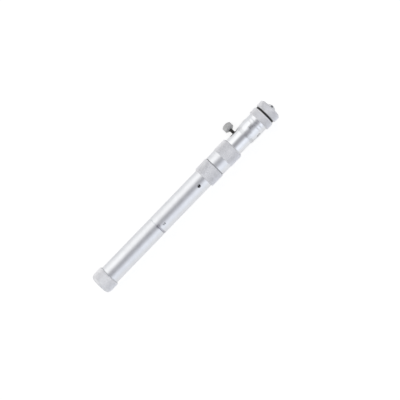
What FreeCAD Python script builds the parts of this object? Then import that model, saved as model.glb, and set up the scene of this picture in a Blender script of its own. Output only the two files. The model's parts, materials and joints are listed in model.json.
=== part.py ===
import FreeCAD, Part
import math
import os
from types import SimpleNamespace

import Sketcher

# Tubular inside micrometer with two flush extension pipes, 150 mm at zero.
# The measuring axis is X. The origin is the centre of the end cap's flat face,
# +X runs to the spindle contact, and +Z is up with the instrument lying down.
# Lengths are in millimetres and angles in degrees.

DRIVING_DIMENSIONS = {
    # Fits, all radial
    "running_clearance": 0.05,
    "fixed_clearance": 0.02,
    # End cap
    "cap_floor": 1.1,
    "cap_rounding": 1.9,
    "contact_gap": 0.4,
    "shoulder_setback": 7.25,
    # Gauge rods, their bushes and disc springs
    "extension_length": 50.0,
    "rod_diameter": 5.0,
    "rod_dome": 0.3,
    "rod_clearance": 0.8,
    "bush_wall": 1.93,
    "bush_length": 4.5,
    "bush_setback": 1.0,
    "flange_clearance": 0.3,
    "flange_width": 1.6,
    "flange_gap": 0.5,
    "spring_thickness": 0.4,
    "spring_cone": 0.5,
    "spring_clearance": 0.2,
    "rear_tip_diameter": 2.0,
    "rear_tip_depth": 3.0,
    # Extension pipes and their screwed joints
    "spigot_wall": 1.0,
    "socket_wall": 0.8,
    "screw_length": 5.2,
    "screw_end_gap": 0.3,
    "seam_chamfer": 0.3,
    "joint_recess": 1.2,
    "collar_length": 9.6,
    "spanner_hole_diameter": 2.2,
    "spanner_hole_setback": 15.1,
    "spanner_hole_turn": 14.0,
    # Head body and anvil
    "band_step": 0.65,
    "band_length": 6.97,
    "head_grip_wall": 1.3,
    "head_grip_length": 9.47,
    "head_rim_chamfer": 0.7,
    "spigot_clearance": 0.5,
    "anvil_depth": 3.6,
    "web_thickness": 1.1,
    # Spindle nut, its adjusting nut and the graduated sleeve
    "nut_wall": 0.65,
    "nut_taper": 0.4,
    "nut_tail_length": 9.4,
    "nut_neck_width": 1.0,
    "nut_slot_width": 0.5,
    "nut_slot_count": 3,
    "nut_relief": 0.3,
    "guide_gap": 0.2,
    "adjuster_wall": 0.4,
    "adjuster_length": 3.0,
    "adjuster_clearance": 0.3,
    "adjuster_slot_width": 1.2,
    "adjuster_slot_depth": 0.8,
    "adjuster_slot_count": 2,
    "sleeve_wall": 0.9,
    "sleeve_show": 9.06,
    "sleeve_seat_depth": 4.7,
    "sleeve_end_gap": 1.0,
    # Spindle and contact
    "spindle_diameter": 6.0,
    "thread_height": 0.3,
    "spindle_end_gap": 0.4,
    "stub_step": 0.3,
    "taper_rise": 0.25,
    "contact_projection": 1.82,
    "contact_dome": 1.1,
    "tip_diameter": 1.9,
    "tip_depth": 3.0,
    "tip_stand": 0.12,
    # Thimble, lock washer and lock nut
    "thimble_wall": 0.65,
    "thimble_edge_wall": 0.2,
    "thimble_bevel_length": 4.8,
    "thimble_plain_length": 12.66,
    "thimble_grip_length": 4.87,
    "thimble_rim_length": 0.6,
    "thimble_end_wall": 2.2,
    "thimble_end_gap": 0.4,
    "ring_groove_depth": 0.15,
    "ring_groove_width": 0.5,
    "ring_groove_setback": 1.93,
    "ring_groove_spacing": 1.99,
    "washer_step": 0.1,
    "washer_thickness": 1.32,
    "lock_nut_length": 5.03,
    "lock_nut_chamfer": 0.9,
    # Knurled grips
    "grip_step": 0.95,
    "front_grip_step": 0.7,
    "rim_chamfer": 0.45,
    "knurl_pitch": 0.72,
    "knurl_depth": 0.26,
    "knurl_overlap": 1.05,
    "knurl_rim_step": 0.04,
    # Clamp screw
    "clamp_setback": 6.55,
    "clamp_diameter": 2.0,
    "clamp_gap": 0.42,
    "shoe_length": 1.6,
    "clamp_shank_show": 3.1,
    "clamp_boss_wall": 0.5,
    "clamp_boss_length": 0.3,
    "clamp_head_diameter": 6.26,
    "clamp_head_length": 4.1,
    "clamp_head_chamfer": 0.6,
    "clamp_head_socket": 2.9,
    "floor_gap": 0.03,
}

THROUGH_ALL = 1

# How far a knurling cutter reaches out from the root, in flute depths
CUTTER_REACH = 1.25


class Size:
    """A number together with the sheet formula that gives it."""

    def __init__(self, value, text):
        self.value = value
        self.text = text

    def _join(self, sign, other, value):
        return Size(value, f"({self.text} {sign} {as_size(other).text})")

    def __add__(self, other):
        return self._join("+", other, self.value + as_size(other).value)

    def __sub__(self, other):
        return self._join("-", other, self.value - as_size(other).value)

    def __mul__(self, other):
        return self._join("*", other, self.value * as_size(other).value)

    def __truediv__(self, other):
        return self._join("/", other, self.value / as_size(other).value)


def as_size(number):
    return number if isinstance(number, Size) else Size(number, str(number))


def make_sheet(doc):
    """Write the driving dimensions and return a Size for each of them."""
    sheet = doc.addObject("Spreadsheet::Sheet", "Sizes")
    for row, (name, value) in enumerate(DRIVING_DIMENSIONS.items(), start=1):
        sheet.set(f"A{row}", name)
        sheet.set(f"B{row}", str(value))
        sheet.setAlias(f"B{row}", name)
    doc.recompute()
    sizes = {name: Size(value, f"Sizes.{name}") for name, value in DRIVING_DIMENSIONS.items()}
    return SimpleNamespace(**sizes)


doc = FreeCAD.newDocument("InsideMicrometer")
d = make_sheet(doc)


# Radii from the inside out, so that each piece fits round the one it holds

rod = d.rod_diameter / 2
bush_seat = rod + d.running_clearance + d.bush_wall + d.fixed_clearance
screw = bush_seat + d.spigot_wall
screw_bore = screw + d.running_clearance
pipe = screw_bore + d.socket_wall

spindle = d.spindle_diameter / 2
spindle_screw = spindle + d.thread_height
nut_thread = spindle_screw + d.running_clearance
nut_tail_front = nut_thread + d.nut_wall
nut_tail_rear = nut_tail_front + d.nut_taper
adjuster = nut_tail_rear + d.adjuster_wall
sleeve_bore = adjuster + d.adjuster_clearance
sleeve = sleeve_bore + d.sleeve_wall
thimble_bore = sleeve + d.running_clearance
thimble = thimble_bore + d.thimble_wall
stub = spindle - d.stub_step
clamp = d.clamp_diameter / 2
rim_depth = d.knurl_depth + d.knurl_rim_step

RADIUS = SimpleNamespace(
    rod=rod,
    bush_seat=bush_seat,
    flange=bush_seat - d.flange_clearance,
    screw=screw,
    screw_bore=screw_bore,
    pipe_bore=rod + d.rod_clearance,
    pipe=pipe,
    grip=pipe + d.grip_step,
    grip_rim=pipe + d.grip_step - rim_depth,
    band=pipe + d.band_step,
    spigot_bore=rod + d.spigot_clearance,
    spindle=spindle,
    spindle_bore=spindle + d.running_clearance,
    spindle_screw=spindle_screw,
    nut_thread=nut_thread,
    nut=sleeve_bore - d.running_clearance,
    adjuster=adjuster,
    sleeve_bore=sleeve_bore,
    sleeve=sleeve,
    head_grip=sleeve + d.head_grip_wall,
    head_rim=sleeve + d.head_grip_wall - rim_depth,
    thimble_bore=thimble_bore,
    thimble=thimble,
    front_grip=thimble + d.front_grip_step,
    front_rim=thimble + d.front_grip_step - rim_depth,
    stub=stub,
    stub_bore=stub + d.fixed_clearance,
    taper=stub + d.taper_rise,
    clamp=clamp,
    clamp_hole=clamp + d.running_clearance,
)


# Stations along the measuring axis, from the end cap's flat face

rear_contact = d.cap_floor + d.contact_gap
rear_shoulder = rear_contact + d.shoulder_setback
rod_joint = rear_contact + d.extension_length
anvil_face = rod_joint + d.extension_length
pipe_seam = rod_joint - d.joint_recess
head_seam = anvil_face - d.joint_recess
socket_depth = d.screw_length + d.screw_end_gap

grip_start = head_seam + d.band_length
grip_end = grip_start + d.head_grip_length
thimble_edge = grip_end + d.sleeve_show
thimble_grip = thimble_edge + d.thimble_plain_length
thimble_end = thimble_grip + d.thimble_grip_length
washer_end = thimble_end + d.washer_thickness
lock_nut_end = washer_end + d.lock_nut_length
front_contact = lock_nut_end + d.contact_projection

anvil_seat = anvil_face + d.joint_recess
nut_seat = anvil_seat + d.anvil_depth + d.web_thickness
thimble_floor = thimble_end - d.thimble_end_wall
nut_front = thimble_floor - d.thimble_end_gap
nut_tail = nut_front - d.nut_tail_length
clamp_station = grip_end + d.clamp_setback
spindle_screw_start = clamp_station + RADIUS.clamp + d.clamp_gap


# Drawing helpers

def plane_of(body, role):
    return next(item for item in body.Origin.OriginFeatures if item.Role == role)


def new_sketch(body, name, role):
    sketch = body.newObject("Sketcher::SketchObject", name)
    sketch.AttachmentSupport = (plane_of(body, role), [""])
    sketch.MapMode = "FlatFace"
    return sketch


def fix_point(sketch, geometry, end, x, y):
    """Tie one end of a line or the centre of a circle to two sheet formulas."""
    for kind, axis, size in (("DistanceX", -2, as_size(x)), ("DistanceY", -1, as_size(y))):
        if size.value == 0:
            sketch.addConstraint(Sketcher.Constraint("PointOnObject", geometry, end, axis))
            continue
        if size.value > 0:
            index = sketch.addConstraint(Sketcher.Constraint(kind, -1, 1, geometry, end, size.value))
            sketch.setExpression(f"Constraints[{index}]", size.text)
        else:
            index = sketch.addConstraint(Sketcher.Constraint(kind, geometry, end, -1, 1, -size.value))
            sketch.setExpression(f"Constraints[{index}]", f"-({size.text})")


def vector(point):
    return FreeCAD.Vector(as_size(point[0]).value, as_size(point[1]).value, 0)


def add_arc(sketch, start, end, centre):
    """Add an arc and say which of its ends come first and last; no centre means on X."""
    a = vector(start)
    b = vector(end)
    if centre is None:
        centre_x = (b.x ** 2 + b.y ** 2 - a.x ** 2 - a.y ** 2) / (2 * (b.x - a.x))
        middle = FreeCAD.Vector(centre_x, 0, 0)
    else:
        middle = vector(centre)
    turns_left = (a - middle).cross(b - middle).z > 0
    first, last = (a, b) if turns_left else (b, a)
    circle = Part.Circle(middle, FreeCAD.Vector(0, 0, 1), (a - middle).Length)
    arc = Part.ArcOfCircle(circle, circle.parameter(first), circle.parameter(last))
    index = sketch.addGeometry(arc, False)
    if centre is None:
        sketch.addConstraint(Sketcher.Constraint("PointOnObject", index, 3, -1))
    else:
        sketch.addConstraint(Sketcher.Constraint("Horizontal", index, 3, index, 1 if turns_left else 2))
    return index, (1, 2) if turns_left else (2, 1)


def draw_outline(sketch, points, domes=(), rounds=None):
    """Draw a closed outline; the edges in domes are arcs about a point on the X axis.

    The edges in rounds are arcs about the point given, which is level with their start.
    """
    rounds = rounds or {}
    edges = []
    for number, point in enumerate(points):
        following = points[(number + 1) % len(points)]
        if number in domes or number in rounds:
            edges.append(add_arc(sketch, point, following, rounds.get(number)))
        else:
            line = Part.LineSegment(vector(point), vector(following))
            edges.append((sketch.addGeometry(line, False), (1, 2)))
    for number, (index, ends) in enumerate(edges):
        next_index, next_ends = edges[(number + 1) % len(edges)]
        sketch.addConstraint(Sketcher.Constraint("Coincident", index, ends[1], next_index, next_ends[0]))
    for (index, ends), point in zip(edges, points):
        fix_point(sketch, index, ends[0], *point)


def turned(label, points, domes=(), rounds=None, upright=False):
    """Turn an outline of (along, out) points; an upright piece is turned about Y."""
    body = doc.addObject("PartDesign::Body", label)
    sketch = new_sketch(body, f"{label}_outline", "XY_Plane")
    if upright:
        points = [(out, along) for along, out in points]
    draw_outline(sketch, points, domes, rounds)
    turn = body.newObject("PartDesign::Revolution", f"{label}_turned")
    turn.Profile = sketch
    turn.ReferenceAxis = (sketch, ["V_Axis" if upright else "H_Axis"])
    turn.Angle = 360
    doc.recompute()
    return body


def cut_through(body, sketch, name, reversed_cut=True):
    """Cut a sketch through one side of a body and make sure that it cuts."""
    before = body.Shape.Volume
    cut = body.newObject("PartDesign::Pocket", name)
    cut.Profile = sketch
    cut.Type = THROUGH_ALL
    cut.Reversed = reversed_cut
    doc.recompute()
    if not body.Shape.Volume < before:
        raise RuntimeError(f"{name} cuts nothing")
    return cut


def repeat_round(body, feature, name, role, count):
    pattern = body.newObject("PartDesign::PolarPattern", name)
    pattern.Originals = [feature]
    pattern.Axis = (plane_of(body, role), [""])
    pattern.Angle = 360
    pattern.Occurrences = max(1, int(round(count.value)))
    pattern.setExpression("Occurrences", f"round({count.text})")
    body.Tip = pattern
    doc.recompute()


def knurl(body, radius, upright=False):
    """Cut V flutes along the whole grip, close enough to meet in sharp crests."""
    label = body.Label
    sketch = new_sketch(body, f"{label}_flute", "XZ_Plane" if upright else "YZ_Plane")
    root = radius - d.knurl_depth
    top = root + d.knurl_depth * CUTTER_REACH
    half_width = d.knurl_pitch / 2 * d.knurl_overlap * CUTTER_REACH
    draw_outline(sketch, [(0, root), (half_width, top), (half_width * -1, top)])
    flute = cut_through(body, sketch, f"{label}_flute_cut", reversed_cut=not upright)
    count = radius * 2 * math.pi / d.knurl_pitch
    repeat_round(body, flute, f"{label}_knurl", "Y_Axis" if upright else "X_Axis", count)


def slots(body, start, end, width, count):
    """Cut slots along the measuring axis through the wall, spaced round it."""
    label = body.Label
    sketch = new_sketch(body, f"{label}_slot", "XY_Plane")
    half = width / 2
    draw_outline(sketch, [(start, half * -1), (end, half * -1), (end, half), (start, half)])
    slot = cut_through(body, sketch, f"{label}_slot_cut")
    repeat_round(body, slot, f"{label}_slots", "X_Axis", count)


def radial_hole(body, name, station, radius, turn, side):
    """Drill one wall; turn is counted from the top, and side is the axis it turns about."""
    sketch = new_sketch(body, name, "XY_Plane")
    rotation = FreeCAD.Rotation(FreeCAD.Vector(side, 0, 0), turn.value)
    sketch.AttachmentOffset = FreeCAD.Placement(FreeCAD.Vector(), rotation)
    sketch.setExpression("AttachmentOffset.Rotation.Angle", turn.text)
    circle = Part.Circle(vector((station, 0)), FreeCAD.Vector(0, 0, 1), radius.value)
    index = sketch.addGeometry(circle, False)
    fix_point(sketch, index, 3, station, 0)
    rule = sketch.addConstraint(Sketcher.Constraint("Radius", index, radius.value))
    sketch.setExpression(f"Constraints[{rule}]", radius.text)
    cut_through(body, sketch, f"{name}_cut")


# End cap

def make_end_cap():
    rounding = d.cap_rounding
    chamfer = d.rim_chamfer
    rim = RADIUS.grip_rim
    cap = turned("end_cap", [
        (0, 0),
        (0, rim - rounding),
        (rounding, rim),
        (rounding, RADIUS.grip),
        (rear_shoulder - chamfer, RADIUS.grip),
        (rear_shoulder - chamfer, rim),
        (rear_shoulder, rim - chamfer),
        (rear_shoulder, RADIUS.screw_bore),
        (d.cap_floor, RADIUS.screw_bore),
        (d.cap_floor, 0),
    ], rounds={1: (rounding, rim - rounding)})
    knurl(cap, RADIUS.grip)


# Extension pipes: a screwed spigot at the rear, a screwed socket at the front

def make_pipe(label, shoulder, front, rear_bush):
    chamfer = d.seam_chamfer
    rear = shoulder - d.screw_length
    socket = front - socket_depth
    rear_seat = rear_bush + d.bush_length
    return turned(label, [
        (rear, RADIUS.bush_seat),
        (rear, RADIUS.screw),
        (shoulder, RADIUS.screw),
        (shoulder, RADIUS.pipe - chamfer),
        (shoulder + chamfer, RADIUS.pipe),
        (front - chamfer, RADIUS.pipe),
        (front, RADIUS.pipe - chamfer),
        (front, RADIUS.screw_bore),
        (socket, RADIUS.screw_bore),
        (socket, RADIUS.bush_seat),
        (spring_seat(front), RADIUS.bush_seat),
        (spring_seat(front), RADIUS.pipe_bore),
        (rear_seat, RADIUS.pipe_bore),
        (rear_seat, RADIUS.bush_seat),
    ])


def make_coupling_collar():
    start = head_seam - d.collar_length
    bore = RADIUS.pipe + d.fixed_clearance
    rim = RADIUS.grip_rim
    collar = turned("coupling_collar", [
        (start, bore),
        (start, rim - d.rim_chamfer),
        (start + d.rim_chamfer, rim),
        (start + d.rim_chamfer, RADIUS.grip),
        (head_seam - d.seam_chamfer, RADIUS.grip),
        (head_seam - d.seam_chamfer, rim),
        (head_seam, rim - d.seam_chamfer),
        (head_seam, bore),
    ])
    knurl(collar, RADIUS.grip)


# Gauge rods: each is held in two bushes and pushed forward by a disc spring

def front_bush_of(pipe_front):
    return pipe_front - socket_depth - d.bush_length


def spring_seat(pipe_front):
    """The step in a pipe's bore that its disc spring bears on."""
    flange_start = front_bush_of(pipe_front) - d.flange_gap - d.flange_width
    return flange_start - d.spring_thickness - d.spring_cone


def make_bush(label, start):
    bore = RADIUS.rod + d.running_clearance
    outside = RADIUS.bush_seat - d.fixed_clearance
    end = start + d.bush_length
    turned(label, [(start, bore), (start, outside), (end, outside), (end, bore)])


def make_rod(label, start, front_bush, tipped):
    """A flanged rod with a domed front; its rear is flat, or domed and bored for a tip."""
    end = start + d.extension_length
    flange_end = front_bush - d.flange_gap
    flange_start = flange_end - d.flange_width
    barrel = [
        (flange_start, RADIUS.rod),
        (flange_start, RADIUS.flange),
        (flange_end, RADIUS.flange),
        (flange_end, RADIUS.rod),
        (end - d.rod_dome, RADIUS.rod),
        (end, 0),
    ]
    if tipped:
        bore = d.rear_tip_diameter / 2 + d.fixed_clearance
        depth = start + d.rear_tip_depth
        rear = [
            (depth, 0),
            (depth, bore),
            (start + d.tip_stand, bore),
            (start + d.rod_dome, RADIUS.rod),
        ]
        turned(label, rear + barrel, domes=(2, 8))
    else:
        turned(label, [(start, 0), (start, RADIUS.rod)] + barrel, domes=(6,))


def make_rear_tip():
    radius = d.rear_tip_diameter / 2
    turned("rear_contact_tip", [
        (rear_contact, 0),
        (rear_contact + d.tip_stand, radius),
        (rear_contact + d.rear_tip_depth, radius),
        (rear_contact + d.rear_tip_depth, 0),
    ], domes=(0,))


def make_disc_spring(label, seat):
    """A conical washer: its rim bears on the pipe, its inner edge on the rod's flange."""
    rim = RADIUS.flange
    inner = RADIUS.rod + d.spring_clearance
    thickness = d.spring_thickness
    turned(label, [
        (seat, rim),
        (seat + thickness, rim),
        (seat + d.spring_cone + thickness, inner),
        (seat + d.spring_cone, inner),
    ])


def make_extension(prefix, rod_start, rear_bush, pipe_front, tipped=False):
    make_bush(f"{prefix}_bush_back", rear_bush)
    make_bush(f"{prefix}_bush_front", front_bush_of(pipe_front))
    make_rod(f"{prefix}_gauge_rod", rod_start, front_bush_of(pipe_front), tipped)
    make_disc_spring(f"{prefix}_disc_spring", spring_seat(pipe_front))


# Micrometer head: body, anvil, nut, sleeve

def make_head_body():
    chamfer = d.head_rim_chamfer
    spigot_end = head_seam - d.screw_length
    sleeve_seat = grip_end - d.sleeve_seat_depth
    anvil_bore = RADIUS.rod + d.fixed_clearance
    sleeve_bore = RADIUS.sleeve + d.fixed_clearance
    nut_bore = RADIUS.nut + d.fixed_clearance
    body = turned("head_body", [
        (spigot_end, RADIUS.spigot_bore),
        (spigot_end, RADIUS.screw),
        (head_seam, RADIUS.screw),
        (head_seam, RADIUS.band - d.seam_chamfer),
        (head_seam + d.seam_chamfer, RADIUS.band),
        (grip_start, RADIUS.band),
        (grip_start, RADIUS.head_grip),
        (grip_end - chamfer, RADIUS.head_grip),
        (grip_end - chamfer, RADIUS.head_rim),
        (grip_end, RADIUS.head_rim - chamfer),
        (grip_end, sleeve_bore),
        (sleeve_seat, sleeve_bore),
        (sleeve_seat, nut_bore),
        (nut_seat, nut_bore),
        (nut_seat, 0),
        (nut_seat - d.web_thickness, 0),
        (nut_seat - d.web_thickness, anvil_bore),
        (anvil_seat, anvil_bore),
        (anvil_seat, RADIUS.spigot_bore),
    ])
    knurl(body, RADIUS.head_grip)


def make_head_anvil():
    turned("head_anvil", [
        (anvil_face, 0),
        (anvil_face, RADIUS.rod),
        (anvil_seat + d.anvil_depth, RADIUS.rod),
        (anvil_seat + d.anvil_depth, 0),
    ])


def tail_radius(station):
    """The radius of the nut's tapered tail at a station between its ends."""
    return nut_tail_front + d.nut_taper * (nut_front - station) / d.nut_tail_length


def make_spindle_nut():
    """A guide barrel whose split, tapered tail is the nut; a hole takes the clamp."""
    relief = RADIUS.spindle_screw + d.nut_relief
    shoulder = nut_tail - d.nut_neck_width
    guide_end = spindle_screw_start - d.guide_gap
    slot_start = nut_tail - d.nut_neck_width / 2
    nut = turned("spindle_nut", [
        (nut_seat, RADIUS.spindle_bore),
        (nut_seat, RADIUS.nut),
        (shoulder, RADIUS.nut),
        (shoulder, nut_tail_rear),
        (nut_tail, nut_tail_rear),
        (nut_front, nut_tail_front),
        (nut_front, RADIUS.nut_thread),
        (nut_tail, RADIUS.nut_thread),
        (nut_tail, relief),
        (guide_end, relief),
        (guide_end, RADIUS.spindle_bore),
    ])
    radial_hole(nut, "nut_clamp_hole", clamp_station, RADIUS.clamp_hole, clamp_turn, -1)
    slots(nut, slot_start, thimble_floor, d.nut_slot_width, d.nut_slot_count)


def make_wear_adjusting_nut():
    rear = nut_front - d.adjuster_length
    ring = turned("wear_adjusting_nut", [
        (rear, tail_radius(rear) + d.fixed_clearance),
        (rear, RADIUS.adjuster),
        (nut_front, RADIUS.adjuster),
        (nut_front, nut_tail_front + d.fixed_clearance),
    ])
    slot_start = nut_front - d.adjuster_slot_depth
    slots(ring, slot_start, thimble_floor, d.adjuster_slot_width, d.adjuster_slot_count)


def make_graduated_sleeve():
    start = grip_end - d.sleeve_seat_depth
    end = thimble_floor - d.sleeve_end_gap
    sleeve = turned("graduated_sleeve", [
        (start, RADIUS.sleeve_bore),
        (start, RADIUS.sleeve),
        (end, RADIUS.sleeve),
        (end, RADIUS.sleeve_bore),
    ])
    radial_hole(sleeve, "sleeve_clamp_hole", clamp_station, RADIUS.clamp_hole, clamp_turn, -1)


# Spindle, thimble and what holds them together

def make_spindle():
    """A ground guide, the micrometer screw, a taper for the thimble and the contact stub."""
    rear = nut_seat + d.spindle_end_gap
    bevel = d.seam_chamfer
    tip_bore = d.tip_diameter / 2 + d.fixed_clearance
    tip_floor = front_contact - d.tip_depth
    turned("spindle", [
        (rear, 0),
        (rear, RADIUS.spindle - bevel),
        (rear + bevel, RADIUS.spindle),
        (spindle_screw_start, RADIUS.spindle),
        (spindle_screw_start + bevel, RADIUS.spindle_screw),
        (thimble_floor, RADIUS.spindle_screw),
        (thimble_floor, RADIUS.taper),
        (thimble_end, RADIUS.stub),
        (front_contact - d.contact_dome, RADIUS.stub),
        (front_contact - d.tip_stand, tip_bore),
        (tip_floor, tip_bore),
        (tip_floor, 0),
    ], domes=(8,))


def make_contact_tip():
    radius = d.tip_diameter / 2
    turned("spindle_contact_tip", [
        (front_contact - d.tip_depth, 0),
        (front_contact - d.tip_depth, radius),
        (front_contact - d.tip_stand, radius),
        (front_contact, 0),
    ], domes=(2,))


def ring_groove(station):
    """The three corners of a fine turned ring groove on the thimble."""
    half = d.ring_groove_width / 2
    return [
        (station - half, RADIUS.thimble),
        (station, RADIUS.thimble - d.ring_groove_depth),
        (station + half, RADIUS.thimble),
    ]


def make_thimble():
    front_groove = thimble_grip - d.ring_groove_setback
    rear_groove = front_groove - d.ring_groove_spacing
    rim = RADIUS.front_rim
    rim_start = thimble_end - d.thimble_rim_length
    grip_step = thimble_grip + (rim - RADIUS.thimble)
    thimble = turned("thimble", [
        (thimble_edge, RADIUS.thimble_bore),
        (thimble_edge, RADIUS.thimble_bore + d.thimble_edge_wall),
        (thimble_edge + d.thimble_bevel_length, RADIUS.thimble),
        *ring_groove(rear_groove),
        *ring_groove(front_groove),
        (thimble_grip, RADIUS.thimble),
        (grip_step, rim),
        (grip_step, RADIUS.front_grip),
        (rim_start, RADIUS.front_grip),
        (rim_start, rim),
        (thimble_end, rim),
        (thimble_end, RADIUS.stub_bore),
        (thimble_floor, RADIUS.taper + d.fixed_clearance),
        (thimble_floor, RADIUS.thimble_bore),
    ])
    knurl(thimble, RADIUS.front_grip)


def make_lock_washer():
    outside = RADIUS.thimble - d.washer_step
    turned("lock_washer", [
        (thimble_end, RADIUS.stub_bore),
        (thimble_end, outside),
        (washer_end, outside),
        (washer_end, RADIUS.stub_bore),
    ])


def make_lock_nut():
    chamfer = d.lock_nut_chamfer
    rim = RADIUS.front_rim
    nut = turned("thimble_lock_nut", [
        (washer_end, RADIUS.stub_bore),
        (washer_end, rim - chamfer / 2),
        (washer_end + chamfer / 2, rim),
        (washer_end + chamfer / 2, RADIUS.front_grip),
        (lock_nut_end - chamfer, RADIUS.front_grip),
        (lock_nut_end - chamfer, rim),
        (lock_nut_end, rim - chamfer),
        (lock_nut_end, RADIUS.stub_bore),
    ])
    knurl(nut, RADIUS.front_grip)


# Clamp screw: it leans down until the rim of its head meets the floor

boss_start = RADIUS.sleeve + d.clamp_shank_show
clamp_head_start = boss_start + d.clamp_boss_length
clamp_head_end = clamp_head_start + d.clamp_head_length


def clamp_droop():
    """The angle below level at which the head's rim is as low as the front grips."""
    reach = clamp_head_end - d.clamp_head_chamfer
    rim = d.clamp_head_diameter / 2
    lowest = RADIUS.front_grip - d.floor_gap
    span = math.hypot(reach.value, rim.value)
    value = math.degrees(math.asin(lowest.value / span) - math.atan(rim.value / reach.value))
    span_text = f"sqrt({reach.text} ^ 2 + {rim.text} ^ 2)"
    text = f"(asin({lowest.text} / {span_text}) - atan({rim.text} / {reach.text})) / 1 deg"
    return Size(value, text)


droop = clamp_droop()
clamp_turn = droop + 90


def place_on_clamp_axis(body):
    """Move an upright piece from the Y axis onto the clamp's axis."""
    rotation = FreeCAD.Rotation(FreeCAD.Vector(-1, 0, 0), droop.value)
    body.Placement = FreeCAD.Placement(FreeCAD.Vector(clamp_station.value, 0, 0), rotation)
    body.setExpression("Placement.Base.x", clamp_station.text)
    body.setExpression("Placement.Rotation.Angle", droop.text)
    doc.recompute()


def make_clamp():
    shoe_start = RADIUS.spindle + d.clamp_gap
    shoe_end = shoe_start + d.shoe_length
    socket_end = boss_start + d.clamp_head_socket
    chamfer = d.clamp_head_chamfer
    grip = d.clamp_head_diameter / 2
    rim = grip - rim_depth
    bore = RADIUS.clamp + d.fixed_clearance
    shoe = turned("clamp_shoe", [
        (shoe_start, 0),
        (shoe_start, RADIUS.clamp),
        (shoe_end, RADIUS.clamp),
        (shoe_end, 0),
    ], upright=True)
    screw = turned("clamp_screw", [
        (shoe_end, 0),
        (shoe_end, RADIUS.clamp),
        (socket_end, RADIUS.clamp),
        (socket_end, 0),
    ], upright=True)
    head = turned("clamp_screw_head", [
        (socket_end, 0),
        (socket_end, bore),
        (boss_start, bore),
        (boss_start, RADIUS.clamp + d.clamp_boss_wall),
        (clamp_head_start, RADIUS.clamp + d.clamp_boss_wall),
        (clamp_head_start, rim - chamfer),
        (clamp_head_start + chamfer, rim),
        (clamp_head_start + chamfer, grip),
        (clamp_head_end - chamfer, grip),
        (clamp_head_end - chamfer, rim),
        (clamp_head_end, rim - chamfer),
        (clamp_head_end, 0),
    ], upright=True)
    knurl(head, grip, upright=True)
    for body in (shoe, screw, head):
        place_on_clamp_axis(body)


def make_pipes():
    rear_bush = rear_shoulder - d.screw_length
    front_bush = rod_joint + d.bush_setback
    make_pipe("rear_pipe", rear_shoulder, pipe_seam, rear_bush)
    make_extension("rear", rear_contact, rear_bush, pipe_seam, tipped=True)
    make_rear_tip()
    front_pipe = make_pipe("front_pipe", pipe_seam, head_seam, front_bush)
    hole = head_seam - d.spanner_hole_setback
    radius = d.spanner_hole_diameter / 2
    radial_hole(front_pipe, "spanner_hole", hole, radius, d.spanner_hole_turn, 1)
    make_extension("front", rod_joint, front_bush, head_seam)
    make_coupling_collar()


def make_head():
    make_head_body()
    make_head_anvil()
    make_spindle_nut()
    make_wear_adjusting_nut()
    make_graduated_sleeve()
    make_clamp()


def make_moving_group():
    make_spindle()
    make_contact_tip()
    make_thimble()
    make_lock_washer()
    make_lock_nut()


def check_document():
    """Stop unless every object is up to date and every sub-part is one valid solid."""
    for item in doc.Objects:
        if "Invalid" in item.State or "Error" in item.State:
            raise RuntimeError(f"{item.Label} failed: {item.State}")
    for body in doc.findObjects("PartDesign::Body"):
        shape = body.Shape
        if shape.isNull() or not shape.isValid() or len(shape.Solids) != 1:
            raise RuntimeError(f"{body.Label} isn't one valid solid")


def write_parts():
    os.makedirs("parts", exist_ok=True)
    for body in doc.findObjects("PartDesign::Body"):
        body.Shape.exportStep(f"parts/{body.Label}.step")
        print(f"{body.Label}: {body.Shape.Volume:.2f} mm3")


make_end_cap()
make_pipes()
make_head()
make_moving_group()
doc.recompute()
check_document()
write_parts()
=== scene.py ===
import json
import math

import bmesh
import bpy
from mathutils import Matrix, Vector


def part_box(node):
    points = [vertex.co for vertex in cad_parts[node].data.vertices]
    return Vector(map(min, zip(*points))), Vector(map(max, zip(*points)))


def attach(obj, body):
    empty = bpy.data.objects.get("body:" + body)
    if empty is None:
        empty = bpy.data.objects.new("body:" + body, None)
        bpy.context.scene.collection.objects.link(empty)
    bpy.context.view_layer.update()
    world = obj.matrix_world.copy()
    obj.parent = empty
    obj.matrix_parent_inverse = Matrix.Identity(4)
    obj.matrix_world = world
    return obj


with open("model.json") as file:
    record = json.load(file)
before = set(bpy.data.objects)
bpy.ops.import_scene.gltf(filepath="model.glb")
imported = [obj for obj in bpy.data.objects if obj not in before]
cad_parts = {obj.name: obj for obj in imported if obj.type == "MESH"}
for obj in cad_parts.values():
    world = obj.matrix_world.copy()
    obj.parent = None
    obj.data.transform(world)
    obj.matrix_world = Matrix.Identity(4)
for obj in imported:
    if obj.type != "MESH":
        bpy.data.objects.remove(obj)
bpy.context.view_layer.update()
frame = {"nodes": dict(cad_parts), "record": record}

MM = 0.001

# The photograph is 400 pixels square, and the instrument's axis climbs to the right in it
PHOTO_SIZE = 400
PIXEL = 0.6069 * MM
AXIS_TURN = math.radians(46.0)
CAMERA_HEIGHT = 1200 * PIXEL
CAMERA_FOOT = (79.6 * MM, -7.74 * MM)
CAMERA_SENSOR = 36
CAMERA_CLIP = 10 * MM

# Light all round: a dim band overhead, a bright far side, a cooler near side
TOP_LIGHT = (0.40, 0.40, 0.425)
FAR_LIGHT = (1.14, 1.14, 1.14)
FAR_LOW_LIGHT = (1.06, 1.06, 1.06)
NEAR_LIGHT = (1.0, 1.03, 1.1)
NEAR_LOW_LIGHT = (0.82, 0.84, 0.88)

# Where each light stands, in degrees round the instrument's axis from overhead to the far side
LIGHT_STOPS = [
    (-100, NEAR_LOW_LIGHT), (-50, NEAR_LIGHT), (-4, TOP_LIGHT),
    (8, TOP_LIGHT), (48, FAR_LIGHT), (100, FAR_LOW_LIGHT),
]

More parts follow.
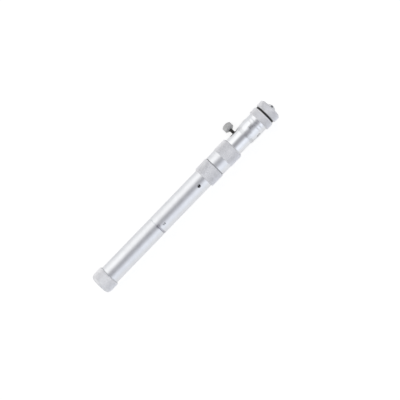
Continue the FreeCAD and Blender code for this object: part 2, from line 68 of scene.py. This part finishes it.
# The band turns a little along the axis, and the light is weaker past the ends and at the rear
BAND_TWIST = 0.75
TWIST_FADE = (0.25, 0.5)
NEAR_END_LIGHT = 0.7
FAR_END_LIGHT = 0.35
END_FADE = (0.45, 0.85)
REAR_NEAR_LIGHT = 0.7
REAR_FADE = (-0.5, -0.02)
FAR_SIDE = (-0.2, 0.1)

# A mid grey floor that looks white to the camera and pale in reflections
FLOOR_COLOUR = 0.36
FLOOR_SHADE = 0.01
FLOOR_ROUGHNESS = 0.9
FLOOR_SPECULAR = 0.1
FLOOR_GLOW = 0.8
REFLECTED_GLOW = 0.6
FLOOR_REACH = 3000 * MM
FLOOR_DROP = 0.05 * MM

# Each finish goes from a darker to a lighter shade
POLISHED = ((0.83, 0.84, 0.86), (0.88, 0.89, 0.91))
SATIN = ((0.86, 0.86, 0.875), (0.92, 0.92, 0.935))
PALE_SATIN = ((0.94, 0.94, 0.95), (0.98, 0.98, 0.99))
HANDLED_SATIN = ((0.52, 0.52, 0.515), (0.70, 0.70, 0.69))
LAPPED = ((0.62, 0.62, 0.63), (0.70, 0.70, 0.71))
HARDENED = ((0.50, 0.50, 0.51), (0.58, 0.58, 0.59))
BLUED = ((0.17, 0.18, 0.23), (0.24, 0.25, 0.30))
CARBIDE = ((0.16, 0.16, 0.17), (0.22, 0.22, 0.23))
BRASS = ((0.62, 0.44, 0.18), (0.72, 0.54, 0.25))
BRONZE = ((0.48, 0.29, 0.15), (0.58, 0.37, 0.2))
BLACK_OXIDE = ((0.03, 0.03, 0.033), (0.075, 0.073, 0.07))
BLACK_WAX = ((0.02, 0.02, 0.022), (0.05, 0.05, 0.052))

POLISHED_ROUGHNESS = 0.33
NECK_ROUGHNESS = 0.09
THIMBLE_ROUGHNESS = 0.17
SATIN_ROUGHNESS = 0.6
SATIN_METALLIC = 0.6
OXIDE_ROUGHNESS = (0.38, 0.55)
OXIDE_METALLIC = 0.6
WAX_ROUGHNESS = (0.5, 0.7)

# Roughness varies over a surface between these shares of its middle value
POLISHED_VARIATION = (0.75, 1.3)
SATIN_VARIATION = (0.85, 1.2)

# Noise: its scale, its stretch along X, Y and Z, and its detail
EVEN = (1, 1, 1)
TURNED_CLOUDS = (220, EVEN, 6)
SATIN_CLOUDS = (500, EVEN, 6)
SPLIT_CLOUDS = (260, EVEN, 6)
WORN_SPOTS = (900, (0.6, 1, 1), 5)
TURNING_LINES = (9000, (1, 0.012, 0.012), 3)
SATIN_GRAIN = (5200, EVEN, 3)
RUBBED_SPOTS = (700, EVEN, 6)
WAX_SPECKS = (3000, EVEN, 4)
RAGGED_SEAM_SHADE = (1500, EVEN, 4)
FLOOR_GRAIN = (300, EVEN, 4)

# Where the noise goes from the darker shade to the lighter one
SOFT_EDGES = (0.35, 0.65)
RUBBED_EDGES = (0.4, 0.75)

# Bump: its strength and its depth
TURNING_BUMP = (0.12, 0.02 * MM)
GRAIN_BUMP = (0.2, 0.02 * MM)

# Painted shade where the two pipes meet, standing in for the dark seam: round at the spot, and in a line from
# there to -Y
SEAM_SHADE_SPOT = (50.72 * MM, -0.9 * MM, 6.27 * MM)
SEAM_SHADE_EDGE = (0.9 * MM, 1.75 * MM)
SEAM_SHADE_RAGGED = 0.25 * MM
SEAM_SHADE_LINE_EDGE = (0.4 * MM, 0.95 * MM)
SEAM_SHADE_LINE_SIDE = (-1.0 * MM, 0.5 * MM)
SEAM_SHADE_TINT = (0.68, 0.67, 0.69)

# A painted shade line: a dark ring where the collar meets the head's band
HEAD_JOINT = 100.34 * MM
HEAD_JOINT_RADIUS = 6.82 * MM
HEAD_JOINT_WIDTH = 0.18 * MM

# The sleeve and the thimble, as far as the frame's boxes tell, and where the satin grips start
SLEEVE_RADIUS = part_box("graduated_sleeve")[1].z
SLEEVE_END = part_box("graduated_sleeve")[1].x
THIMBLE_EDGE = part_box("thimble")[0].x
HEAD_GRIP_START = 107.27 * MM
THIMBLE_GRIP_START = THIMBLE_EDGE + 12.66 * MM

# The thimble's bevel, from its edge
EDGE_RADIUS = 6.25 * MM
BEVEL_RADIUS = 6.7 * MM
BEVEL_LENGTH = 4.8 * MM

# Marks are thin strips that stand a little proud, and bend with the surface in short steps
MARK_STAND = 0.008 * MM
MARK_STEP = math.radians(3)
FEWEST_STEPS = 2
LINE_WIDTH = 0.11 * MM

# Lettering: capitals are this share of the font's size, and weights are shares of it too
CAPITAL_HEIGHT = 0.7
NUMBER_WEIGHT = -0.012
LETTER_CURVE_STEPS = 4

# The thimble's divisions; 30 stands near the top, so 0 and the index line are on the hidden side
DIVISIONS = 50
DIVISIONS_A_LONG_LINE = 5
DIVISIONS_A_NUMBER = 10
DIVISION = 2 * math.pi / DIVISIONS
THIRTY_TURN = math.radians(-8)
INDEX_TURN = THIRTY_TURN - 30 * DIVISION
SHORT_LINE = 2.2 * MM
LONG_LINE = 2.9 * MM
NUMBERED_LINE = 3.6 * MM
LINE_SETBACK = 0.05 * MM
NUMBER_SETBACK = 6.5 * MM
NUMBER_HEIGHT = 2.1 * MM

# The main scale on the sleeve: the index line, and a tick at each half millimetre of travel
INDEX_LEAD = 4 * MM
INDEX_SETBACK = 1 * MM
SCALE_TRAVEL = 13
HALF_MILLIMETRE = 0.5 * MM
HALVES_A_NUMBER = 10
TICK_REACH = math.radians(11)
LONG_TICK_REACH = math.radians(17)
SCALE_NUMBER_REACH = math.radians(25)
SCALE_NUMBER_HEIGHT = 1.3 * MM

# The small 50 on the front pipe
LENGTH_MARK_HEIGHT = 1.15 * MM
LENGTH_MARK_SETBACK = 4.0 * MM
LENGTH_MARK_TURN = math.radians(22)
LENGTH_MARK_WEIGHT = 0.03
LENGTH_MARK_SPACING = 1.3

# The spindle's domed end, and a dark disc laid almost flush on it as a painted dark reflection
STUB_RADIUS = 2.7 * MM
DOME_RADIUS = 3.86 * MM
DOME_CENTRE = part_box("spindle_contact_tip")[1].x - DOME_RADIUS
DOME_REFLECTION_STATION = 150.5 * MM
DOME_REFLECTION_TURN = math.radians(-7)
DOME_REFLECTION_RADIUS = 0.8 * MM
DOME_REFLECTION_STAND = 0.04 * MM
DOME_REFLECTION_CORNERS = 24
DOME_REFLECTION_CUTS = 4

# The fine threads on the spigots
SPIGOT_RADIUS = 5.5 * MM
SPIGOT_LENGTH = 5.2 * MM
THREAD_PITCH = 0.75 * MM
THREAD_RIDGE = 0.035 * MM
THREAD_HALF_WIDTH = 0.3 * MM
THREAD_SETBACK = 0.6 * MM
THREAD_STEPS = 48


# Shader nodes

def new_material(name):
    material = bpy.data.materials.new(name)
    material.use_nodes = True
    tree = material.node_tree
    return material, tree, tree.nodes["Principled BSDF"]


def add_noise(tree, scale, stretch, detail):
    """Noise in the object's own coordinates, stretched along its axes."""
    place = tree.nodes.new("ShaderNodeTexCoord")
    mapping = tree.nodes.new("ShaderNodeMapping")
    mapping.inputs["Scale"].default_value = stretch
    noise = tree.nodes.new("ShaderNodeTexNoise")
    noise.inputs["Scale"].default_value = scale
    noise.inputs["Detail"].default_value = detail
    tree.links.new(place.outputs["Object"], mapping.inputs["Vector"])
    tree.links.new(mapping.outputs["Vector"], noise.inputs["Vector"])
    return noise.outputs["Fac"]


def add_axes(tree, place):
    """Part a place into its X, Y and Z."""
    parts = tree.nodes.new("ShaderNodeSeparateXYZ")
    tree.links.new(place, parts.inputs["Vector"])
    return [parts.outputs[axis] for axis in "XYZ"]


def add_shades(tree, source, shades, edges=SOFT_EDGES):
    """Go from the darker shade to the lighter one as the source passes between the edges."""
    ramp = tree.nodes.new("ShaderNodeValToRGB")
    for element, shade, edge in zip(ramp.color_ramp.elements, shades, edges):
        element.position = edge
        element.color = (*shade, 1)
    tree.links.new(source, ramp.inputs["Fac"])
    return ramp.outputs["Color"]


def add_range(tree, source, low, high):
    """Go from low to high as the source goes from 0 to 1."""
    spread = tree.nodes.new("ShaderNodeMapRange")
    spread.clamp = False
    spread.inputs["To Min"].default_value = low
    spread.inputs["To Max"].default_value = high
    tree.links.new(source, spread.inputs["Value"])
    return spread.outputs["Result"]


def add_step(tree, source, edges, low, high):
    """Ease from low to high while the source goes from one edge to the other."""
    step = tree.nodes.new("ShaderNodeMapRange")
    step.interpolation_type = "SMOOTHSTEP"
    step.inputs["From Min"].default_value, step.inputs["From Max"].default_value = edges
    step.inputs["To Min"].default_value = low
    step.inputs["To Max"].default_value = high
    tree.links.new(source, step.inputs["Value"])
    return step.outputs["Result"]


def add_math(tree, operation, *sources):
    """One sum; a source that is a plain number is set on the node itself."""
    node = tree.nodes.new("ShaderNodeMath")
    node.operation = operation
    for socket, source in zip(node.inputs, sources):
        if isinstance(source, float):
            socket.default_value = source
        else:
            tree.links.new(source, socket)
    return node.outputs[0]


def add_mix(tree, share, first, second, kind):
    """Go from the first source to the second as the share goes from 0 to 1."""
    mix = tree.nodes.new("ShaderNodeMix")
    mix.data_type = kind
    tree.links.new(share, mix.inputs["Factor"])
    tree.links.new(first, mix.inputs["A"])
    tree.links.new(second, mix.inputs["B"])
    return mix.outputs["Result"]


def add_roughness(tree, noise, roughness, variation):
    lowest, highest = variation
    return add_range(tree, noise, roughness * lowest, roughness * highest)


def add_bump(tree, shader, height, strength, depth):
    bump = tree.nodes.new("ShaderNodeBump")
    bump.inputs["Strength"].default_value = strength
    bump.inputs["Distance"].default_value = depth
    tree.links.new(height, bump.inputs["Height"])
    tree.links.new(bump.outputs["Normal"], shader.inputs["Normal"])


# Materials

def turned_metal(name, shades, roughness):
    """Metal with fine turning lines round the X axis, faint clouds and a few worn spots."""
    material, tree, shader = new_material(name)
    shader.inputs["Metallic"].default_value = 1
    clouds = add_noise(tree, *TURNED_CLOUDS)
    tree.links.new(add_shades(tree, clouds, shades), shader.inputs["Base Color"])
    wear = add_noise(tree, *WORN_SPOTS)
    tree.links.new(add_roughness(tree, wear, roughness, POLISHED_VARIATION), shader.inputs["Roughness"])
    add_bump(tree, shader, add_noise(tree, *TURNING_LINES), *TURNING_BUMP)
    return material


def satin_metal(name, shades, roughness, metallic=1):
    """Satin plating: an even fine grain in the bump and in the roughness."""
    material, tree, shader = new_material(name)
    shader.inputs["Metallic"].default_value = metallic
    clouds = add_noise(tree, *SATIN_CLOUDS)
    tree.links.new(add_shades(tree, clouds, shades), shader.inputs["Base Color"])
    grain = add_noise(tree, *SATIN_GRAIN)
    tree.links.new(add_roughness(tree, grain, roughness, SATIN_VARIATION), shader.inputs["Roughness"])
    add_bump(tree, shader, grain, *GRAIN_BUMP)
    return material


def split_metal(name, station, polished_roughness):
    """One turned piece, polished behind a station on X and satin in front of it."""
    material, tree, shader = new_material(name)
    place = tree.nodes.new("ShaderNodeTexCoord").outputs["Object"]
    satin = add_math(tree, "GREATER_THAN", add_axes(tree, place)[0], station)
    tree.links.new(add_range(tree, satin, 1, SATIN_METALLIC), shader.inputs["Metallic"])

    clouds = add_noise(tree, *SPLIT_CLOUDS)
    colour = add_mix(tree, satin, add_shades(tree, clouds, POLISHED), add_shades(tree, clouds, SATIN), "RGBA")
    tree.links.new(colour, shader.inputs["Base Color"])

    wear = add_noise(tree, *WORN_SPOTS)
    smooth = add_roughness(tree, wear, polished_roughness, POLISHED_VARIATION)
    rough = add_roughness(tree, wear, SATIN_ROUGHNESS, SATIN_VARIATION)
    tree.links.new(add_mix(tree, satin, smooth, rough, "FLOAT"), shader.inputs["Roughness"])
    add_bump(tree, shader, add_noise(tree, *TURNING_LINES), *TURNING_BUMP)
    return material


def oiled_metal(name, shades, roughness):
    """Polished metal with soft, ragged painted shade where the pipes meet: round at a spot, and in a line
    from there to -Y.
    """
    material = turned_metal(name, shades, roughness)
    tree = material.node_tree
    place = tree.nodes.new("ShaderNodeTexCoord").outputs["Object"]
    away = tree.nodes.new("ShaderNodeVectorMath")
    away.operation = "DISTANCE"
    away.inputs[1].default_value = SEAM_SHADE_SPOT
    tree.links.new(place, away.inputs[0])
    ragged = add_range(tree, add_noise(tree, *RAGGED_SEAM_SHADE), -SEAM_SHADE_RAGGED, SEAM_SHADE_RAGGED)
    round_shade = add_step(tree, add_math(tree, "ADD", away.outputs["Value"], ragged), SEAM_SHADE_EDGE, 1, 0)

    x, y = add_axes(tree, place)[:2]
    from_joint = add_math(tree, "ABSOLUTE", add_math(tree, "SUBTRACT", x, SEAM_SHADE_SPOT[0]))
    near_joint = add_step(tree, from_joint, SEAM_SHADE_LINE_EDGE, 1, 0)
    line = add_math(tree, "MULTIPLY", near_joint, add_step(tree, y, SEAM_SHADE_LINE_SIDE, 1, 0))

    # Painted shade: the colour at the seam is multiplied towards the darker tint
    tint = tree.nodes.new("ShaderNodeMix")
    tint.data_type = "RGBA"
    tint.blend_type = "MULTIPLY"
    tint.inputs["B"].default_value = (*SEAM_SHADE_TINT, 1)
    base = tree.nodes["Principled BSDF"].inputs["Base Color"]
    tree.links.new(add_math(tree, "MAXIMUM", round_shade, line), tint.inputs["Factor"])
    tree.links.new(base.links[0].from_socket, tint.inputs["A"])
    tree.links.new(tint.outputs["Result"], base)
    return material


def dark_coating(name, shades, roughness, noise, edges=SOFT_EDGES, metallic=0):
    """A dark layer whose shade and roughness follow one noise."""
    material, tree, shader = new_material(name)
    shader.inputs["Metallic"].default_value = metallic
    spots = add_noise(tree, *noise)
    tree.links.new(add_shades(tree, spots, shades, edges), shader.inputs["Base Color"])
    tree.links.new(add_range(tree, spots, *roughness), shader.inputs["Roughness"])
    return material


def black_oxide(name):
    """Oily black steel, rubbed brown-grey where it is handled."""
    return dark_coating(name, BLACK_OXIDE, OXIDE_ROUGHNESS, RUBBED_SPOTS, RUBBED_EDGES, OXIDE_METALLIC)


def engraving_fill(name):
    """Black wax in the engraved marks."""
    return dark_coating(name, BLACK_WAX, WAX_ROUGHNESS, WAX_SPECKS)


MATERIALS = {
    "polished_steel": turned_metal("polished_steel", POLISHED, POLISHED_ROUGHNESS),
    "satin_chrome": satin_metal("satin_chrome", SATIN, SATIN_ROUGHNESS, SATIN_METALLIC),
    "head_steel": split_metal("head_steel", HEAD_GRIP_START, POLISHED_ROUGHNESS),
    "thimble_steel": split_metal("thimble_steel", THIMBLE_GRIP_START, THIMBLE_ROUGHNESS),
    "pale_chrome": satin_metal("pale_chrome", PALE_SATIN, SATIN_ROUGHNESS, metallic=0.5),
    "neck_steel": turned_metal("neck_steel", POLISHED, NECK_ROUGHNESS),
    "pipe_steel": oiled_metal("pipe_steel", POLISHED, POLISHED_ROUGHNESS),
    "lapped_steel": turned_metal("lapped_steel", LAPPED, roughness=0.09),
    "clamp_steel": satin_metal("clamp_steel", HANDLED_SATIN, roughness=0.5, metallic=0.4),
    "hardened_steel": turned_metal("hardened_steel", HARDENED, roughness=0.28),
    "spring_steel": turned_metal("spring_steel", BLUED, roughness=0.35),
    "carbide": satin_metal("carbide", CARBIDE, roughness=0.22),
    "black_oxide": black_oxide("black_oxide"),
    "brass": turned_metal("brass", BRASS, roughness=0.3),
    "bronze": turned_metal("bronze", BRONZE, roughness=0.35),
    "engraving_fill": engraving_fill("engraving_fill"),
}

# Pieces whose finish differs from their slot's, all over or in places
OWN_MATERIALS = {
    "head_body": "head_steel",
    "thimble": "thimble_steel",
    "clamp_screw_head": "clamp_steel",
    "end_cap": "pale_chrome",
    "graduated_sleeve": "neck_steel",
    "front_pipe": "pipe_steel",
    "rear_pipe": "pipe_steel",
    "spindle": "lapped_steel",
}


def dress_nodes():
    """Give every CAD node its own material, or the one that its slot in the record names."""
    slots = {part["node"]: part["material_slot"] for part in frame["record"]["subparts"]}
    for node, piece in frame["nodes"].items():
        piece.data.materials.clear()
        piece.data.materials.append(MATERIALS[OWN_MATERIALS.get(node, slots[node])])


# Marks and threads

def around(x, radius, turn):
    """A point on a cylinder about X; turn is counted from the top towards -Y."""
    return Vector((x, -radius * math.sin(turn), radius * math.cos(turn)))


def add_piece(build, name, material, body):
    """Turn the mesh that was built into a piece with a material, and let it ride on a body."""
    mesh = bpy.data.meshes.new(name)
    build.to_mesh(mesh)
    build.free()
    mesh.materials.append(MATERIALS[material])
    piece = bpy.data.objects.new(name, mesh)
    bpy.context.scene.collection.objects.link(piece)
    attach(piece, body)


def add_line(build, x_start, x_end, radius_at, turn):
    """A thin strip along X that follows the surface below it."""
    corners = []
    for x in (x_start, x_end):
        radius = radius_at(x) + MARK_STAND
        half = LINE_WIDTH / 2 / radius
        corners.append(build.verts.new(around(x, radius, turn - half)))
        corners.append(build.verts.new(around(x, radius, turn + half)))
    build.faces.new([corners[0], corners[1], corners[3], corners[2]])


def add_tick(build, x, radius, turn, reach, width=LINE_WIDTH):
    """A thin strip round the axis, in short steps so that it bends with the surface."""
    steps = max(FEWEST_STEPS, round(abs(reach) / MARK_STEP))
    pairs = []
    for step in range(steps + 1):
        at = turn + reach * step / steps
        pair = [build.verts.new(around(x + side * width / 2, radius + MARK_STAND, at)) for side in (-1, 1)]
        pairs.append(pair)
    for left, right in zip(pairs, pairs[1:]):
        build.faces.new([left[0], left[1], right[1], right[0]])


def add_number(build, text, x, radius, turn, height, weight=NUMBER_WEIGHT, spacing=1.0):
    """Write a number round a cylinder, its foot along X."""
    curve = bpy.data.curves.new("number", "FONT")
    curve.body = text
    curve.size = height / CAPITAL_HEIGHT
    curve.offset = weight * curve.size
    curve.space_character = spacing
    curve.align_x = "CENTER"
    curve.align_y = "CENTER"
    curve.resolution_u = LETTER_CURVE_STEPS
    writer = bpy.data.objects.new("number", curve)
    bpy.context.scene.collection.objects.link(writer)
    flat = bpy.data.meshes.new_from_object(writer.evaluated_get(bpy.context.evaluated_depsgraph_get()))
    bpy.data.objects.remove(writer)
    letters = bmesh.new()
    letters.from_mesh(flat)
    bmesh.ops.triangulate(letters, faces=letters.faces)
    bmesh.ops.subdivide_edges(letters, edges=letters.edges, cuts=1)
    corners = {}
    for corner in letters.verts:
        across, up = corner.co.x, corner.co.y
        corners[corner] = build.verts.new(around(x + across, radius + MARK_STAND, turn - up / radius))
    for face in letters.faces:
        build.faces.new([corners[corner] for corner in face.verts])
    letters.free()


def thimble_scale():
    """Fifty lines on the bevel, longer at every fifth, and a number at every tenth."""
    def radius_at(x):
        share = (x - THIMBLE_EDGE) / BEVEL_LENGTH
        return EDGE_RADIUS + (BEVEL_RADIUS - EDGE_RADIUS) * share

    build = bmesh.new()
    for division in range(DIVISIONS):
        turn = INDEX_TURN + division * DIVISION
        length = LONG_LINE if division % DIVISIONS_A_LONG_LINE == 0 else SHORT_LINE
        if division % DIVISIONS_A_NUMBER == 0:
            length = NUMBERED_LINE
            station = THIMBLE_EDGE + NUMBER_SETBACK
            add_number(build, str(division), station, BEVEL_RADIUS, turn, NUMBER_HEIGHT)
        add_line(build, THIMBLE_EDGE + LINE_SETBACK, THIMBLE_EDGE + length, radius_at, turn)
    add_piece(build, "thimble_scale", "engraving_fill", "thimble_group")


def sleeve_scale():
    """The index line with millimetres on one side and half millimetres on the other."""
    build = bmesh.new()
    start, end = THIMBLE_EDGE - INDEX_LEAD, SLEEVE_END - INDEX_SETBACK
    add_line(build, start, end, lambda x: SLEEVE_RADIUS, INDEX_TURN)
    for half in range(2 * SCALE_TRAVEL + 1):
        x = THIMBLE_EDGE + half * HALF_MILLIMETRE
        if half % HALVES_A_NUMBER == 0:
            reach = -LONG_TICK_REACH
            at = INDEX_TURN - SCALE_NUMBER_REACH
            add_number(build, str(half // 2), x, SLEEVE_RADIUS, at, SCALE_NUMBER_HEIGHT)
        elif half % 2 == 0:
            reach = -TICK_REACH
        else:
            reach = TICK_REACH
        add_tick(build, x, SLEEVE_RADIUS, INDEX_TURN, reach)
    add_piece(build, "sleeve_scale", "engraving_fill", "head")


def length_mark():
    """The small 50 near the rear seam of the front pipe."""
    lowest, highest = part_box("front_pipe")
    station = lowest.x + SPIGOT_LENGTH + LENGTH_MARK_SETBACK
    build = bmesh.new()
    add_number(
        build, "50", station, highest.z, LENGTH_MARK_TURN, LENGTH_MARK_HEIGHT,
        LENGTH_MARK_WEIGHT, LENGTH_MARK_SPACING,
    )
    add_piece(build, "length_mark", "engraving_fill", "front_extension")


def head_joint_oil():
    """A dark ring of painted shade where the collar meets the head's band."""
    build = bmesh.new()
    add_tick(build, HEAD_JOINT, HEAD_JOINT_RADIUS, 0, 2 * math.pi, HEAD_JOINT_WIDTH)
    # Painted shade, drawn in the engravings' black wax
    add_piece(build, "head_joint_oil", "engraving_fill", "head")


def contact_pin():
    """A painted dark reflection: a dark disc laid on the spindle's dome and the stub behind it."""
    build = bmesh.new()
    bmesh.ops.create_circle(build, cap_ends=True, cap_tris=True, segments=DOME_REFLECTION_CORNERS, radius=DOME_REFLECTION_RADIUS)
    bmesh.ops.subdivide_edges(build, edges=build.edges, cuts=DOME_REFLECTION_CUTS, use_grid_fill=True)
    for corner in build.verts:
        x = DOME_REFLECTION_STATION + corner.co.x
        dome = math.sqrt(DOME_RADIUS ** 2 - (x - DOME_CENTRE) ** 2)
        radius = min(STUB_RADIUS, dome) + DOME_REFLECTION_STAND
        corner.co = around(x, radius, DOME_REFLECTION_TURN + math.asin(corner.co.y / radius))
    add_piece(build, "contact_pin", "carbide", "thimble_group")


def spigot_thread(name, node, body):
    """A fine screw thread on a piece's rear spigot: low sharp ridges on its plain cylinder."""
    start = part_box(node)[0].x + THREAD_SETBACK
    turns = int((SPIGOT_LENGTH - 2 * THREAD_SETBACK) / THREAD_PITCH)
    last_step = turns * THREAD_STEPS
    build = bmesh.new()
    rings = []
    for step in range(last_step + 1):
        turn = 2 * math.pi * step / THREAD_STEPS
        x = start + THREAD_PITCH * step / THREAD_STEPS
        height = THREAD_RIDGE * min(1, step / THREAD_STEPS, (last_step - step) / THREAD_STEPS)
        rings.append([
            build.verts.new(around(x - THREAD_HALF_WIDTH, SPIGOT_RADIUS, turn)),
            build.verts.new(around(x, SPIGOT_RADIUS + height, turn)),
            build.verts.new(around(x + THREAD_HALF_WIDTH, SPIGOT_RADIUS, turn)),
        ])
    for last, following in zip(rings, rings[1:]):
        for side in (0, 1):
            build.faces.new([last[side], last[side + 1], following[side + 1], following[side]])
    add_piece(build, name, "polished_steel", body)


def add_marks_and_threads():
    thimble_scale()
    sleeve_scale()
    length_mark()
    head_joint_oil()
    contact_pin()
    spigot_thread("rear_pipe_thread", "rear_pipe", "rear_extension")
    spigot_thread("front_pipe_thread", "front_pipe", "front_extension")
    spigot_thread("head_thread", "head_body", "head")


# Floor, light and camera

def floor_material():
    """A matt grey floor, with a glow that only the camera and mirrored or refracted rays see."""
    material, tree, shader = new_material("floor")
    shades = ((FLOOR_COLOUR - FLOOR_SHADE,) * 3, (FLOOR_COLOUR + FLOOR_SHADE,) * 3)
    tree.links.new(add_shades(tree, add_noise(tree, *FLOOR_GRAIN), shades), shader.inputs["Base Color"])
    shader.inputs["Roughness"].default_value = FLOOR_ROUGHNESS
    shader.inputs["Specular IOR Level"].default_value = FLOOR_SPECULAR
    path = tree.nodes.new("ShaderNodeLightPath")
    strength = add_range(tree, path.outputs["Is Camera Ray"], 0, FLOOR_GLOW)
    for kind in ("Is Glossy Ray", "Is Transmission Ray"):
        mirrored = add_range(tree, path.outputs[kind], 0, REFLECTED_GLOW)
        strength = add_math(tree, "MAXIMUM", strength, mirrored)
    glow = tree.nodes.new("ShaderNodeEmission")
    tree.links.new(strength, glow.inputs["Strength"])
    together = tree.nodes.new("ShaderNodeAddShader")
    tree.links.new(shader.outputs[0], together.inputs[0])
    tree.links.new(glow.outputs[0], together.inputs[1])
    tree.links.new(together.outputs[0], tree.nodes["Material Output"].inputs["Surface"])
    return material


def make_floor():
    """A wide floor just below the thimble and the clamp screw's head, on which the object lies."""
    corners = [(x * FLOOR_REACH, y * FLOOR_REACH, 0) for x, y in ((-1, -1), (1, -1), (1, 1), (-1, 1))]
    mesh = bpy.data.meshes.new("floor")
    mesh.from_pydata(corners, [], [(0, 1, 2, 3)])
    mesh.materials.append(floor_material())
    floor = bpy.data.objects.new("floor", mesh)
    floor.location.z = min(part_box("thimble")[0].z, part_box("clamp_screw_head")[0].z) - FLOOR_DROP
    bpy.context.scene.collection.objects.link(floor)


def add_light_colour(tree, along, across, up):
    """The light's colour round the axis, with the dim band overhead turned along it."""
    middle = add_step(tree, add_math(tree, "ABSOLUTE", along), TWIST_FADE, 1, 0)
    twist = add_math(tree, "MULTIPLY", add_range(tree, along, 0, BAND_TWIST), middle)
    angle = add_math(tree, "ARCTAN2", add_math(tree, "SUBTRACT", across, twist), up)
    share = tree.nodes.new("ShaderNodeMapRange")
    share.inputs["From Min"].default_value = -math.pi
    share.inputs["From Max"].default_value = math.pi
    tree.links.new(angle, share.inputs["Value"])
    ramp = tree.nodes.new("ShaderNodeValToRGB")
    ramp.color_ramp.interpolation = "EASE"
    elements = ramp.color_ramp.elements
    while len(elements) < len(LIGHT_STOPS):
        elements.new(0.5)
    for element, (degrees, colour) in zip(elements, LIGHT_STOPS):
        element.position = 0.5 + degrees / 360
        element.color = (*colour, 1)
    tree.links.new(share.outputs["Result"], ramp.inputs["Fac"])
    return ramp.outputs["Color"]


def add_light_strength(tree, along, across):
    """Weaker light past the contact end, more so on the far side, and on the near side at the rear."""
    far = add_step(tree, across, FAR_SIDE, 0, 1)
    near_end = add_step(tree, along, END_FADE, 1, NEAR_END_LIGHT)
    far_end = add_step(tree, along, END_FADE, 1, FAR_END_LIGHT)
    rear = add_math(tree, "MAXIMUM", add_step(tree, along, REAR_FADE, REAR_NEAR_LIGHT, 1), far)
    return add_math(tree, "MULTIPLY", add_mix(tree, far, near_end, far_end, "FLOAT"), rear)


def make_world():
    """Soft light by direction: X is along the instrument, Y to the far side and Z overhead."""
    world = bpy.data.worlds.new("studio")
    world.use_nodes = True
    tree = world.node_tree
    direction = tree.nodes.new("ShaderNodeTexCoord").outputs["Generated"]
    along, across, up = add_axes(tree, direction)
    background = tree.nodes["Background"]
    tree.links.new(add_light_colour(tree, along, across, up), background.inputs["Color"])
    tree.links.new(add_light_strength(tree, along, across), background.inputs["Strength"])
    bpy.context.scene.world = world


def make_camera():
    """A camera straight above the instrument, turned as the photograph is."""
    camera = bpy.data.cameras.new("camera")
    camera.sensor_width = CAMERA_SENSOR
    camera.sensor_height = CAMERA_SENSOR
    camera.sensor_fit = "HORIZONTAL"
    camera.angle = 2 * math.atan(PHOTO_SIZE / 2 * PIXEL / CAMERA_HEIGHT)
    camera.clip_start = CAMERA_CLIP
    viewer = bpy.data.objects.new("camera", camera)
    viewer.location = (*CAMERA_FOOT, CAMERA_HEIGHT)
    viewer.rotation_euler = (0, 0, -AXIS_TURN)
    bpy.context.scene.collection.objects.link(viewer)
    bpy.context.scene.camera = viewer


make_camera()
make_world()
make_floor()
dress_nodes()
add_marks_and_threads()
bpy.context.scene.view_settings.view_transform = "Standard"
